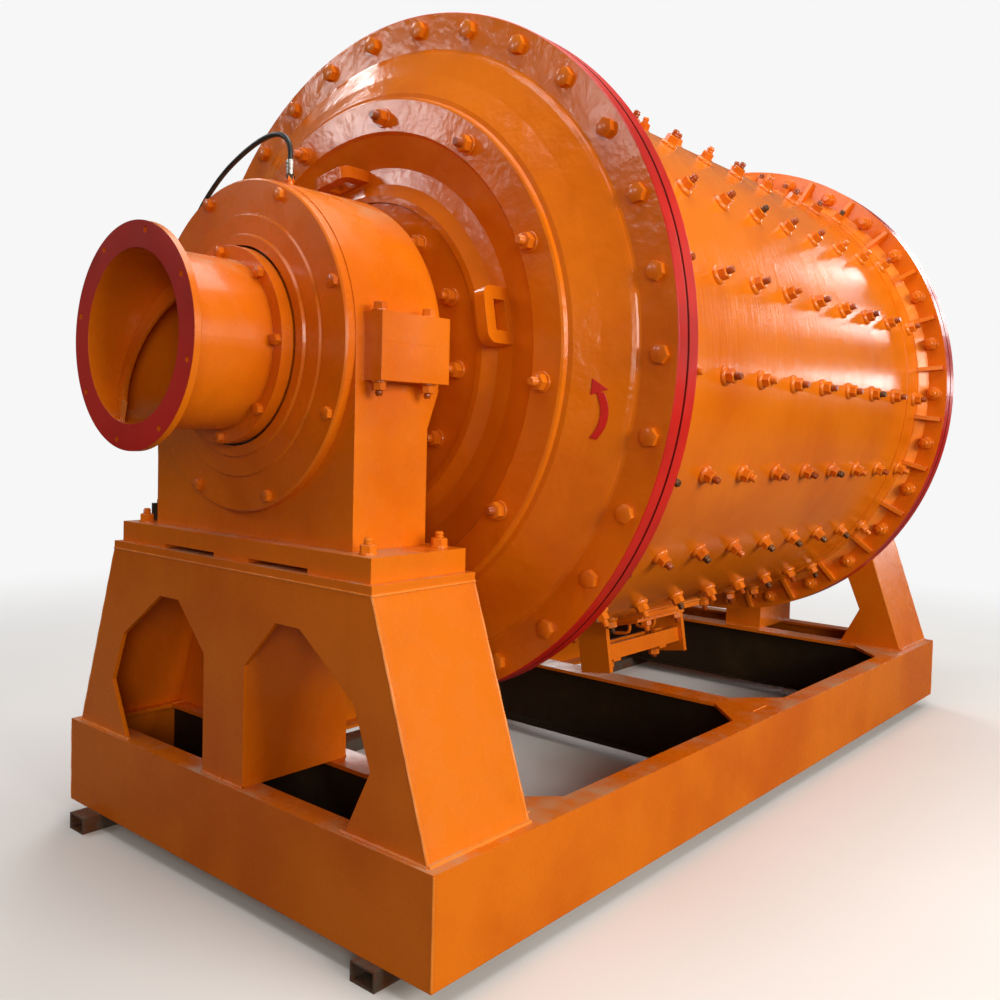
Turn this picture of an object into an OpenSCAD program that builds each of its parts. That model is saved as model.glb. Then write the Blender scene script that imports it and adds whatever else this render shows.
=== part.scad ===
// Ball mill on a skid base: a liner-bolted drum between two trunnion bearings on plate stands.
// Origin: centre of the base, on the floor. +Z is up, +Y runs from the feed end to the discharge end.
// Every end piece is drawn at the feed end, and the discharge end mirrors it about the mid-plane.

/* [Base frame] */
// Distance from the drum's flange joint to the end of the base
base_reach = 778; // [700:1:1000]
// Width of the base frame
base_w = 2000; // [1980:10:2300]
// Depth of the rolled beams
beam_h = 320; // [250:5:400]
// Flange width of the outer channels
channel_flange = 92; // [70:1:120]
// Flange width of the inner cross beams
cross_flange = 130; // [90:1:180]
// Web thickness of the beams
web_t = 10; // [8:0.5:16]
// Flange thickness of the beams
flange_t = 15; // [10:0.5:20]
// Inset of the outer cross beams, from the end of the base to their centre lines
cross_inset = 445; // [400:5:500]
// Leg of the triangular corner plates
corner_leg = 180; // [120:5:240]
// Thickness of the triangular corner plates
corner_t = 15; // [10:1:20]

/* [Runners] */
// Height of the box runners under the base
runner_h = 60; // [40:5:120]
// Width of the box runners
runner_w = 100; // [80:5:160]
// Wall of the box runners
runner_wall = 6; // [4:1:10]
// Distance of the left runner's centre from the mill's axis
runner_left_x = 817; // [600:1:900]
// Distance of the right runner's centre from the mill's axis
runner_right_x = 760; // [600:1:900]
// Longer overhang of a runner beyond the base
runner_long_end = 68; // [20:1:200]
// Shorter overhang of a runner beyond the base
runner_short_end = 30; // [0:5:100]

/* [Stands] */
// Gap between the end of the base and the stand's outer plate
stand_inset = 20; // [5:1:60]
// Length of a stand along the mill's axis
stand_len = 430; // [400:5:480]
// Clearance under the turning manhole clamp, over the base
drum_clearance = 57; // [40:1:120]
// Distance from the side of the base to the foot of the stand
stand_edge = 41; // [20:1:80]
// Shoulder of the stand's top beside the bearing housing
stand_shoulder = 171; // [140:1:220]
// Thickness of the stand's plates
stand_t = 16; // [10:1:25]
// Thickness of the stand's top plate
stand_cap_t = 28; // [16:1:40]
// Width of the stand's centre column
column_w = 230; // [180:5:280]
// Height of the closed plate over the cut-outs
arch_drop = 140; // [100:5:200]
// Corners of a cut-out across the plate, as shares from the column to the plate's edge
arch_x = [0.19, 0.33, 0.63, 0.72, 0.595]; // [0.1:0.01:0.9]
// Heights of the cut-out's lower and upper corners, as shares of its height
arch_z = [0.36, 0.688, 0.714]; // [0.2:0.01:0.9]

/* [Bearings] */
// Height of the mill's axis over the top of the bearing foot
axis_rise = 625; // [580:5:700]
// Thickness of the bearing foot
foot_t = 74; // [50:1:100]
// Length of the bearing foot along the mill's axis
foot_len = 393; // [370:1:430]
// Distance of the foot's outer face from the stand's outer plate
foot_inset = 20; // [0:1:40]
// Margin of the stand's top beside the bearing foot
foot_margin = 27; // [0:1:60]
// Width of a shim slot under the bearing foot
shim_slot_w = 308; // [200:2:360]
// Height of a shim slot
shim_slot_h = 14; // [8:1:20]
// Depth of a shim slot
shim_slot_d = 120; // [60:5:200]
// Distance of a shim slot's centre from the middle of the foot
shim_slot_x = 249; // [180:1:300]
// Wall of the bearing housing outside the bearing ring
housing_wall = 144; // [120:1:180]
// Distance of the housing's outer face from the foot's outer face
housing_inset = 54; // [30:1:80]
// Length of the bearing housing along the axis
housing_len = 348; // [330:2:356]
// Length of the narrower housing leg along the axis
leg_len = 302; // [280:2:320]
// Heights over the foot at which the leg starts and ends its flare
leg_flare = [370, 490]; // [200:10:560]
// Wall of the bearing ring
ring_wall = 100; // [80:1:130]
// Distance of the bearing ring's faces from the housing's faces
ring_margin = 20; // [5:1:40]
// Width of a joint lug beyond the housing
lug_w = 77; // [60:1:110]
// Length of a joint lug along the axis
lug_len = 284; // [260:2:310]
// Height of a joint lug above and below the joint
lug_h = [91, 115]; // [60:1:150]

/* [Bearing covers] */
// Thickness of the cover at its rim
cover_t = 34; // [16:1:50]
// Distance of the cover's rim from the housing's edge
cover_margin = 3; // [1:1:10]
// Distances of the two raised steps from the housing's edge
cover_step_in = [120, 185]; // [80:1:200]
// Height of each raised step on the cover
cover_step_h = [8, 10]; // [4:1:14]
// Chamfers of the cover: on its rim and on its steps
cover_chamfer = [6, 4]; // [1:1:10]
// Gap between the cover's bore and what turns in it
cover_gap = 7; // [6:1:12]
// Thickness of the inner cover
inner_cover_t = 12; // [8:1:20]

/* [Trunnions] */
// Radius of the bearing journal
journal_r = 300; // [290:1:305]
// Running clearance of the journal in the bearing ring
journal_gap = 0.05; // [0.02:0.01:0.1]
// Wall of the trunnion at the journal
trunnion_wall = 38; // [30:1:60]
// Distance of the trunnion's end from the cover's face
journal_inset = 2; // [1:1:8]
// Thickness of the hub flange
hub_t = 42; // [30:1:50]
// Length of the cone between the journal and the hub flange
hub_cone_len = 110; // [80:5:120]
// Rise of the cone over the journal
hub_cone_rise = 100; // [60:5:120]
// Width of the hub flange outside the cone
hub_rim = 164; // [120:1:180]

/* [Feed and discharge pipes] */
// Length of the pipe beyond its inner flange
pipe_len = 310; // [200:5:600]
// Wall of the pipe
pipe_wall = 12; // [8:1:20]
// Height of the inner flange over the journal
pipe_seat_rim = 18; // [16:1:30]
// Thickness of the inner flange
pipe_seat_t = 43; // [20:1:60]
// Height of the mouth flange over the throat
mouth_rim = 81; // [73:1:118]
// Thickness of the mouth flange
mouth_t = 22; // [14:1:30]
// Distance of the circle of holes in the mouth flange from the throat
mouth_hole_out = 55; // [45:1:63]
// Radius of a hole in the mouth flange
mouth_hole_r = 9; // [6:0.5:12]
// Number of holes in the mouth flange
mouth_hole_count = 8; // [6:1:12]
// Angle of the first hole from the level
mouth_hole_start = 31; // [0:1:45]
// Height of the spiral flight inside the feed pipe
flight_h = 62; // [40:2:120]
// Width of the spiral flight's edge round the pipe
flight_t = 30; // [12:1:40]
// Distance of the spiral flight's start from the mouth
flight_inset = 12; // [5:1:40]
// Length of the spiral flight
flight_len = 620; // [400:10:700]
// Length of one turn of the spiral flight
flight_pitch = 640; // [500:20:1400]
// Angle at which the spiral flight starts at the mouth
flight_start = -105; // [-180:1:180]
// Gap between the spiral flight and the pipe
flight_gap = 0.3; // [0.2:0.1:1]

/* [Drum] */
// Outer radius of the drum shell
shell_r = 1130; // [1100:1:1150]
// Thickness of the drum shell
shell_t = 24; // [16:1:40]
// Width of the thicker band at each end of the shell
band_w = 190; // [100:5:250]
// Height of the band over the shell
band_h = 5; // [3:0.5:10]
// Distance from the mid-plane to the joint between shell flange and head
joint_y = 1312; // [1290:1:1330]
// Height of the drum flanges over the shell
flange_h = 132; // [110:1:160]
// Thickness of each drum flange
flange_w = 58; // [40:1:70]
// Width of the groove at the joint of the flanges
groove_w = 12; // [6:1:20]
// Number of ribs behind each shell flange
rib_count = 30; // [20:1:36]
// Thickness of a rib
rib_t = 20; // [12:1:28]
// Length of a rib along the shell
rib_len = 62; // [40:1:120]
// Angle of the first rib from the level, midway between two flange bolts
rib_start = 5.4; // [0:0.1:12]
// Distance of a rib's tip from the flange's edge
rib_tip = 12; // [4:1:30]

/* [Heads] */
// Height of each zone of the head over the flange face: outer zone, middle zone and stud ring
head_rise = [19, 113, 132]; // [10:1:160]
// Distance of the raised outer zone's edge inside the shell's outer face
head_edge_in = 8; // [4:1:30]
// Distance of the stud ring's edge inside the shell's outer face
stud_ring_in = 197; // [180:1:230]
// Width of the stud ring
stud_ring_w = 118; // [100:1:150]
// Thickness of the head's wall
head_t = 58; // [40:1:70]
// Depth of the recess that holds the hub flange, behind the stud ring
hub_recess = 55; // [40:1:70]
// Distance of the hole through the head from the journal's radius
head_hole_out = 20; // [5:1:60]
// Distance of the cast lifting loops from the hub flange
loop_out = 104; // [90:1:130]
// Length of a lifting loop
loop_len = 190; // [150:5:220]
// Height of a lifting loop over the dish
loop_h = 108; // [80:2:120]
// Thickness of a lifting loop's bar
loop_bar = 44; // [30:1:50]
// Round of a lifting loop's outer corners
loop_corner = 36; // [10:1:40]
// Angle of the first lifting loop
loop_start = 10; // [0:1:89]

/* [Manhole] */
// Angle of the manhole around the drum, from the level
manhole_angle = -81; // [-100:1:-60]
// Distance of the manhole's centre from the mid-plane
manhole_y = 98; // [-100:1:300]
// Length of the seat
seat_len = 520; // [400:10:600]
// Width of the seat
seat_w = 460; // [300:10:520]
// Height of the seat over the shell
seat_h = 28; // [20:1:60]
// Distance of the clamp's end plates from the ends of the seat
clamp_reach = 57; // [20:1:100]
// Width of the clamp's end plates
clamp_w = 160; // [120:5:220]
// Thickness of the clamp's end plates
clamp_t = 25; // [16:1:30]
// Height of the clamp over the seat
clamp_h = 212; // [150:2:240]
// Depth of the clamp's bars
clamp_bar_h = 70; // [50:2:90]
// Thickness of the clamp's bars
clamp_bar_t = 22; // [16:1:30]
// Height of the clamp's bars over the seat
clamp_bar_rise = 92; // [60:2:110]
// Distance of the clamp's bars from the edges of its end plates
clamp_bar_in = 25; // [0:1:30]

/* [Lubrication hose] */
// Diameter of the hose
hose_d = 17; // [12:1:25]
// Distance of the hose fitting from the axis plane
fitting_x = 157; // [100:1:200]
// Distance of the hose fitting from the housing's outer face
fitting_inset = 44; // [30:1:80]
// Height of the hose fitting over the housing
fitting_rise = 72; // [60:1:90]
// Radii of the fitting: adaptor, nut, stem and sleeve
fitting_r = [11, 16, 9, 12]; // [6:0.5:20]
// Size of the junction block: across, along and up
block_size = [110, 50, 63]; // [40:1:220]
// Distance of the junction block from the end of the bearing foot
block_margin = 5; // [2:1:20]
// Distance of the junction block from the foot's outer face
block_inset = 110; // [90:1:130]

/* [Hidden] */

paint = "darkorange";
flange_paint = "firebrick";
bare_steel = "dimgray";
black = "#1c1712";
fine = 128;

// Radii round the mill's axis
housing_bore_r = journal_r + ring_wall;
housing_r = housing_bore_r + housing_wall;
throat_r = journal_r - trunnion_wall;
hub_cone_r = journal_r + hub_cone_rise;
hub_r = hub_cone_r + hub_rim;
head_hole_r = journal_r + head_hole_out;
pipe_seat_r = journal_r + pipe_seat_rim;
cover_bore_r = pipe_seat_r + cover_gap;
cover_step_r = [for (d = cover_step_in) housing_r - d];
mouth_r = throat_r + mouth_rim;
mouth_hole_pitch_r = throat_r + mouth_hole_out;
flange_r = shell_r + flange_h;
head_edge_r = shell_r - head_edge_in;
stud_ring_r = shell_r - stud_ring_in;
dish_r = stud_ring_r - stud_ring_w;
loop_r = hub_r + loop_out;
seat_top_r = shell_r + seat_h;
clamp_top_r = seat_top_r + clamp_h;
clamp_len = seat_len + 2 * (clamp_reach + clamp_t);

// Heights over the floor
base_top = runner_h + beam_h;
axis_z = base_top + drum_clearance + max(clamp_top_r, flange_r);
foot_top = axis_z - axis_rise;
foot_z = foot_top - foot_t;
stand_top = foot_z - stand_cap_t;
stand_h = stand_top - base_top;
arch_h = stand_h - arch_drop;

// Places along the axis, at the feed end
half_len = joint_y + base_reach;
half_w = base_w / 2;
stand_y0 = -half_len + stand_inset;
stand_y1 = stand_y0 + stand_len;
foot_y0 = stand_y0 + foot_inset;
housing_y0 = foot_y0 + housing_inset;
housing_y1 = housing_y0 + housing_len;
housing_mid_y = housing_y0 + housing_len / 2;
cover_face_y = housing_y0 - cover_t - cover_step_h[0] - cover_step_h[1];
journal_y0 = cover_face_y - journal_inset;
pipe_y0 = journal_y0 - pipe_seat_t - pipe_len;
head_face_y = -joint_y - flange_w;
dish_y = head_face_y - head_rise[2];
hub_seat_y = dish_y + hub_recess;

// Widths of a stand and of what stands on it
stand_foot_w = base_w - 2 * stand_edge;
stand_top_w = 2 * (housing_r + stand_shoulder);
foot_w = stand_top_w - 2 * foot_margin;

// Details that keep their size
hub_recess_gap = 2;
loop_foot_y = dish_y + 32;
loop_root = 20;
loop_hole_gap = 8;
lug_root = 30;
plate_root = 20;
flight_sag = throat_r - sqrt(pow(throat_r - flight_gap, 2) - pow(flight_t / 2, 2));
cut = 1;

// The discharge end mirrors the feed end
module discharge() mirror([0, 1, 0]) children();

// A ring or cylinder round the mill's axis, from y0 to y1
module turned(r, y0, y1, bore = 0) {
    translate([0, y0, axis_z]) rotate([-90, 0, 0]) difference() {
        cylinder(h = y1 - y0, r = r, $fn = fine);
        if (bore > 0) translate([0, 0, -cut]) cylinder(h = y1 - y0 + 2 * cut, r = bore, $fn = fine);
    }
}

// A body turned round the mill's axis from an outline of [radius, y] points
module revolved(outline)
    translate([0, 0, axis_z]) rotate([-90, 0, 0]) rotate_extrude($fn = fine) polygon(outline);

// Places a piece on the drum: +Z points outward at the given angle, measured from the level
module on_drum(angle, y = 0) translate([0, y, axis_z]) rotate([0, 90 - angle, 0]) children();

module box(x0, x1, y0, y1, z0, z1) translate([x0, y0, z0]) cube([x1 - x0, y1 - y0, z1 - z0]);

// ---- Base frame ----

// Channel on the right side, with its web outward
module side_beam() {
    y_flange = half_len - channel_flange;
    color(paint) {
        box(half_w - web_t, half_w, -half_len + web_t, half_len - web_t, runner_h, base_top);
        for (z = [runner_h, base_top - flange_t])
            box(half_w - channel_flange, half_w - web_t, -y_flange, y_flange, z, z + flange_t);
    }
}

// Channel across the feed end, with its web outward
module end_beam() {
    color(paint) {
        box(-half_w, half_w, -half_len, -half_len + web_t, runner_h, base_top);
        for (z = [runner_h, base_top - flange_t])
            box(-half_w + web_t, half_w - web_t, -half_len + web_t, -half_len + channel_flange,
                z, z + flange_t);
    }
}

// Inner beam with two flanges, whose web reaches between the flanges of the side channels
module cross_beam(y) {
    reach = half_w - channel_flange;
    color(black) box(-half_w + web_t, half_w - web_t, y - web_t / 2, y + web_t / 2,
        runner_h + flange_t, base_top - flange_t);
    color(paint) for (z = [runner_h, base_top - flange_t])
        box(-reach, reach, y - cross_flange / 2, y + cross_flange / 2, z, z + flange_t);
}

module corner_plate(x, y, dx, dy)
    translate([x, y, base_top - corner_t]) linear_extrude(corner_t)
        polygon([[0, 0], [dx * corner_leg, 0], [0, dy * corner_leg]]);

// Triangles between the side channels and the inner beams, flush with their top flanges
module corner_plates() {
    x = half_w - channel_flange;
    y_cross = half_len - cross_inset - cross_flange / 2;
    color(paint) for (sx = [-1, 1], sy = [-1, 1]) {
        corner_plate(sx * x, sy * cross_flange / 2, -sx, sy);
        corner_plate(sx * x, sy * y_cross, -sx, -sy);
    }
}

module runner(x, y0, y1)
    color(bare_steel) difference() {
        box(x - runner_w / 2, x + runner_w / 2, y0, y1, 0, runner_h);
        box(x - runner_w / 2 + runner_wall, x + runner_w / 2 - runner_wall, y0 - cut, y1 + cut,
            runner_wall, runner_h - runner_wall);
    }

// ---- Stands ----

// Half of the cut-out pattern: one opening beside the centre column
module stand_arch(side) {
    inner = column_w / 2;
    span = stand_foot_w / 2 - inner;
    translate([0, base_top]) scale([side, 1]) polygon([
        [inner, -cut],
        [inner, arch_z[2] * arch_h],
        [inner + arch_x[0] * span, arch_h],
        [inner + arch_x[1] * span, arch_h],
        [inner + arch_x[2] * span, arch_z[1] * arch_h],
        [inner + arch_x[3] * span, arch_z[0] * arch_h],
        [inner + arch_x[4] * span, -cut]
    ]);
}

module stand_outline()
    translate([0, base_top]) polygon([
        [-stand_foot_w / 2, 0], [stand_foot_w / 2, 0],
        [stand_top_w / 2, stand_h], [-stand_top_w / 2, stand_h]
    ]);

// Upright plate across the mill with its two openings
module stand_plate(y)
    color(paint) translate([0, y + stand_t, 0]) rotate([90, 0, 0]) linear_extrude(stand_t)
        difference() {
            stand_outline();
            for (side = [-1, 1]) stand_arch(side);
        }

// The two leaning plates that close the stand's sides
module stand_sides() {
    lean = (stand_foot_w - stand_top_w) / 2;
    slant_t = stand_t * sqrt(lean * lean + stand_h * stand_h) / stand_h;
    color(paint) for (side = [-1, 1])
        translate([0, stand_y1 - stand_t, base_top]) rotate([90, 0, 0])
            linear_extrude(stand_len - 2 * stand_t) scale([side, 1]) polygon([
                [stand_foot_w / 2 - slant_t, 0], [stand_foot_w / 2, 0],
                [stand_top_w / 2, stand_h], [stand_top_w / 2 - slant_t, stand_h]
            ]);
}

// Webs of the centre column, from the outer plate to the inner plate
module stand_column()
    color(paint) for (side = [-1, 1])
        translate([side * (column_w - stand_t) / 2, 0, 0])
            box(-stand_t / 2, stand_t / 2, stand_y0 + stand_t, stand_y1 - stand_t,
                base_top, stand_top);

module stand_cap()
    color(paint) box(-stand_top_w / 2, stand_top_w / 2, stand_y0, stand_y1, stand_top, foot_z);

// ---- Bearings ----

module bearing_foot()
    color(paint) difference() {
        box(-foot_w / 2, foot_w / 2, foot_y0, foot_y0 + foot_len, foot_z, foot_top);
        for (side = [-1, 1])
            translate([side * shim_slot_x, 0, 0])
                box(-shim_slot_w / 2, shim_slot_w / 2, foot_y0 - cut, foot_y0 + shim_slot_d,
                    foot_z - cut, foot_z + shim_slot_h);
    }

// Half of a joint lug pair: up = 1 draws the upper pair and up = -1 the lower one
module joint_lugs(up) {
    h = up > 0 ? lug_h[0] : lug_h[1];
    for (side = [-1, 1])
        translate([side * (housing_r + (lug_w - lug_root) / 2), housing_mid_y, axis_z + up * h / 2])
            cube([lug_w + lug_root, lug_len, h], center = true);
}

module housing_bore()
    turned(housing_bore_r, housing_y0 - cut, housing_y1 + cut);

// Lower half of the housing: a leg that widens towards the joint
module bearing_pedestal() {
    leg_y1 = housing_y0 + leg_len;
    color(paint) difference() {
        union() {
            translate([-housing_r, 0, 0]) rotate([90, 0, 90]) linear_extrude(2 * housing_r)
                polygon([
                    [housing_y0, foot_top], [leg_y1, foot_top],
                    [leg_y1, foot_top + leg_flare[0]], [housing_y1, foot_top + leg_flare[1]],
                    [housing_y1, axis_z], [housing_y0, axis_z]
                ]);
            joint_lugs(-1);
        }
        housing_bore();
    }
}

module bearing_cap()
    color(paint) difference() {
        union() {
            intersection() {
                turned(housing_r, housing_y0, housing_y1);
                box(-housing_r - cut, housing_r + cut, housing_y0 - cut, housing_y1 + cut,
                    axis_z, axis_z + housing_r + cut);
            }
            joint_lugs(1);
        }
        housing_bore();
    }

module bearing_ring()
    color(bare_steel) turned(housing_bore_r, housing_y0 + ring_margin, housing_y1 - ring_margin,
        journal_r + journal_gap);

// Stepped disc that closes the outer side of the housing round the turning flange
module bearing_cover() {
    y1 = housing_y0 - cover_t;
    y2 = y1 - cover_step_h[0];
    rim_r = housing_r - cover_margin;
    color(paint) revolved([
        [cover_bore_r, housing_y0], [rim_r, housing_y0], [rim_r, y1 + cover_chamfer[0]],
        [rim_r - cover_chamfer[0], y1], [cover_step_r[0] + cover_chamfer[1], y1],
        [cover_step_r[0], y2], [cover_step_r[1] + cover_chamfer[1], y2],
        [cover_step_r[1], cover_face_y], [cover_bore_r, cover_face_y]
    ]);
}

module bearing_inner_cover()
    color(paint) turned(housing_r - cover_margin, housing_y1, housing_y1 + inner_cover_t,
        journal_r + cover_gap);

// ---- Lubrication hose ----

fitting_y = housing_y0 + fitting_inset;
fitting_z = axis_z + sqrt(pow(housing_r, 2) - pow(fitting_x, 2));
fitting_root = 10;
block_x0 = -foot_w / 2 + block_margin;
block_y0 = foot_y0 + block_inset;

// Points along the hose, chosen by hand: out of the fitting, over the cap and down its left side
hose_route = [
    [157, -1952, 2400], [157, -1952, 2428], [150, -1952, 2456], [130, -1952, 2480],
    [95, -1952, 2496], [50, -1951, 2500], [0, -1950, 2495], [-60, -1948, 2482],
    [-130, -1946, 2460], [-210, -1943, 2428], [-290, -1939, 2385], [-370, -1935, 2328],
    [-445, -1930, 2258], [-510, -1926, 2176], [-570, -1922, 2082], [-620, -1919, 1980],
    [-652, -1917, 1870], [-668, -1916, 1750], [-674, -1915, 1630], [-672, -1915, 1510],
    [-666, -1915, 1400], [-660, -1915, 1310], [-658, -1915, 1262], [-658, -1915, 1245]
];

function unit(v) = v / norm(v);
function tangent(i) = unit(hose_route[min(i + 1, len(hose_route) - 1)] - hose_route[max(i - 1, 0)]);

// One ring of the tube: its points lie square to the route
function tube_ring(i, sides) =
    let (t = tangent(i), a = unit(cross(t, [0, 1, 0])), b = cross(t, a))
    [for (k = [0:sides - 1]) hose_route[i]
        + hose_d / 2 * (a * cos(360 * k / sides) + b * sin(360 * k / sides))];

module lube_hose() {
    sides = 10;
    last = len(hose_route) - 1;
    points = [for (i = [0:last]) each tube_ring(i, sides)];
    walls = [for (i = [0:last - 1], k = [0:sides - 1])
        let (n = (k + 1) % sides)
        [i * sides + k, (i + 1) * sides + k, (i + 1) * sides + n, i * sides + n]];
    first_end = [for (k = [0:sides - 1]) k];
    last_end = [for (k = [sides - 1:-1:0]) last * sides + k];
    color(black) polyhedron(points, concat(walls, [first_end], [last_end]));
}

// Adaptor, nut and crimped sleeve that stand on the round cap
module hose_fitting()
    color(bare_steel) difference() {
        translate([fitting_x, fitting_y, fitting_z - fitting_root]) {
            cylinder(h = 38, r = fitting_r[0], $fn = 32);
            translate([0, 0, 18]) cylinder(h = 18, r = fitting_r[1], $fn = 6);
            cylinder(h = fitting_root + fitting_rise, r = fitting_r[2], $fn = 32);
            translate([0, 0, 40])
                cylinder(h = fitting_root + fitting_rise - 40, r = fitting_r[3], $fn = 32);
        }
        turned(housing_r, housing_y0 - cut, housing_y1 + cut);
    }

// Junction block on the end of the bearing foot, where the hose ends
module hose_block()
    color(black) translate([block_x0, block_y0, foot_top]) cube(block_size);

// ---- Trunnions and pipes ----

module trunnion() {
    hub_face_y = hub_seat_y - hub_t;
    color(paint) revolved([
        [throat_r, journal_y0], [journal_r, journal_y0], [journal_r, hub_face_y - hub_cone_len],
        [hub_cone_r, hub_face_y], [hub_r, hub_face_y], [hub_r, hub_seat_y],
        [throat_r, hub_seat_y]
    ]);
}

module mouth_holes()
    for (k = [0:mouth_hole_count - 1])
        translate([0, 0, axis_z])
            rotate([0, -mouth_hole_start - 360 / mouth_hole_count * k, 0])
            translate([mouth_hole_pitch_r, pipe_y0 - cut, 0]) rotate([-90, 0, 0])
                cylinder(h = mouth_t + 2 * cut, r = mouth_hole_r, $fn = 32);

// Flanged pipe in front of the trunnion
module pipe_end()
    color(paint) difference() {
        revolved([
            [throat_r, pipe_y0], [mouth_r, pipe_y0], [mouth_r, pipe_y0 + mouth_t],
            [throat_r + pipe_wall, pipe_y0 + mouth_t], [throat_r + pipe_wall, journal_y0 - pipe_seat_t],
            [pipe_seat_r, journal_y0 - pipe_seat_t], [pipe_seat_r, journal_y0], [throat_r, journal_y0]
        ]);
        mouth_holes();
    }

// Spiral flight that carries the feed through the pipe, on the pipe's inner wall
module feed_spiral() {
    turns = 360 * flight_len / flight_pitch;
    color(paint) translate([0, pipe_y0 + flight_inset + flight_len, axis_z]) rotate([90, 0, 0])
        rotate(flight_start - turns)
            linear_extrude(flight_len, twist = -turns, slices = 40)
                translate([throat_r - flight_h, -flight_t / 2])
                    square([flight_h - flight_sag, flight_t]);
}

// ---- Drum ----

// Rolled shell with a thicker band at each end
module drum_shell()
    color(paint) {
        band_y = joint_y - flange_w;
        revolved([
            [shell_r - shell_t, -joint_y], [shell_r, -joint_y], [shell_r, -band_y],
            [shell_r + band_h, -band_y], [shell_r + band_h, -band_y + band_w],
            [shell_r, -band_y + band_w], [shell_r, band_y - band_w],
            [shell_r + band_h, band_y - band_w], [shell_r + band_h, band_y],
            [shell_r, band_y], [shell_r, joint_y], [shell_r - shell_t, joint_y]
        ]);
    }

// Outline of one rib in its own plane: distance from the axis against distance from the flange
module rib(k)
    on_drum(rib_start + 360 / rib_count * k, -joint_y + flange_w)
        translate([-rib_t / 2, 0, 0]) rotate([90, 0, 90]) linear_extrude(rib_t) polygon([
            [0, shell_r + band_h], [rib_len, shell_r + band_h],
            [rib_len / 3, flange_r - rib_tip], [0, flange_r - rib_tip]
        ]);

// Flange at the end of the shell with the ribs that brace it
module shell_flange()
    color(paint) {
        revolved([
            [shell_r, -joint_y], [flange_r - groove_w, -joint_y],
            [flange_r - groove_w, -joint_y + groove_w / 2], [flange_r, -joint_y + groove_w / 2],
            [flange_r, -joint_y + flange_w], [shell_r, -joint_y + flange_w]
        ]);
        for (k = [0:rib_count - 1]) rib(k);
    }

// Outline of a closed loop: its foot reaches into the dish and its outer corners are round
module loop_outline() {
    hole_len = loop_len - 2 * loop_bar;
    difference() {
        union() {
            translate([-loop_len / 2, loop_corner - loop_h])
                square([loop_len, loop_h - loop_corner + loop_root]);
            translate([loop_corner - loop_len / 2, -loop_h])
                square([loop_len - 2 * loop_corner, loop_corner + cut]);
            for (side = [-1, 1])
                translate([side * (loop_len / 2 - loop_corner), loop_corner - loop_h])
                    circle(r = loop_corner, $fn = 48);
        }
        translate([-hole_len / 2, loop_bar - loop_h])
            square([hole_len, loop_h - loop_bar - loop_hole_gap]);
    }
}

// Closed lifting loops that stand on the dish, with their holes square to the axis
module lifting_loops()
    color(paint) difference() {
        for (k = [0:3])
            on_drum(loop_start + 90 * k, loop_foot_y) translate([0, 0, loop_r - loop_bar / 2])
                linear_extrude(loop_bar) loop_outline();
        head_body();
    }

// Cast head: bolted flange, sloping zone, stud ring, dish and the seat of the trunnion.
// Points of the dish lie at shares of its width, from the hub flange to the stud ring.
module head_body() {
    y0 = head_face_y;
    y_ring = y0 - head_rise[2];
    y_slope = y0 - head_rise[1];
    y_edge = y0 - head_rise[0];
    hub_lip = hub_r + hub_recess_gap;
    dish_w = dish_r - hub_lip;
    slope_w = head_edge_r - stud_ring_r;
    revolved([
        [head_hole_r, hub_seat_y], [hub_lip, hub_seat_y], [hub_lip, y_ring + 6],
        [hub_lip + 0.10 * dish_w, y_ring + 6], [hub_lip + 0.15 * dish_w, y_ring + 14],
        [hub_lip + 0.28 * dish_w, y_ring + 36], [hub_lip + 0.52 * dish_w, y_ring + 42],
        [dish_r - 10, y_ring + 14], [dish_r, y_ring],
        [stud_ring_r - 8, y_ring], [stud_ring_r, y_ring + 5],
        [stud_ring_r + 4, y_slope], [stud_ring_r + 0.11 * slope_w, y_slope + 4],
        [stud_ring_r + 0.5 * slope_w, y_edge - 44], [head_edge_r - 12, y_edge],
        [head_edge_r, y_edge + 8], [head_edge_r + 4, y0 - 4], [head_edge_r + 12, y0],
        [flange_r - 3, y0], [flange_r, y0 + 3], [flange_r, -joint_y - groove_w / 2],
        [flange_r - groove_w, -joint_y - groove_w / 2], [flange_r - groove_w, -joint_y],
        [shell_r - shell_t, -joint_y], [head_edge_r - 70, y0 + head_t - 28],
        [stud_ring_r, y_ring + head_t + 10], [head_hole_r, hub_seat_y + head_t]
    ]);
}

module head() color(paint) head_body();

// ---- Manhole ----

// Thick pad round the opening in the shell
module manhole_seat()
    color(paint) intersection() {
        turned(seat_top_r, manhole_y - seat_len / 2, manhole_y + seat_len / 2, shell_r);
        on_drum(manhole_angle, manhole_y)
            translate([-seat_w / 2, -seat_len / 2, shell_r / 2])
                cube([seat_w, seat_len, shell_r]);
    }

// Two end plates and two bars that press the cover on its seat
module manhole_clamp()
    color(paint) difference() {
        on_drum(manhole_angle, manhole_y) for (side = [-1, 1]) {
            translate([-clamp_w / 2, side * (clamp_len - clamp_t) / 2 - clamp_t / 2,
                    shell_r - plate_root])
                cube([clamp_w, clamp_t, clamp_top_r - shell_r + plate_root]);
            translate([side * ((clamp_w - clamp_bar_t) / 2 - clamp_bar_in) - clamp_bar_t / 2,
                    -clamp_len / 2 + clamp_t, seat_top_r + clamp_bar_rise])
                cube([clamp_bar_t, clamp_len - 2 * clamp_t, clamp_bar_h]);
        }
        turned(shell_r, manhole_y - clamp_len / 2 - cut, manhole_y + clamp_len / 2 + cut);
    }

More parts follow.
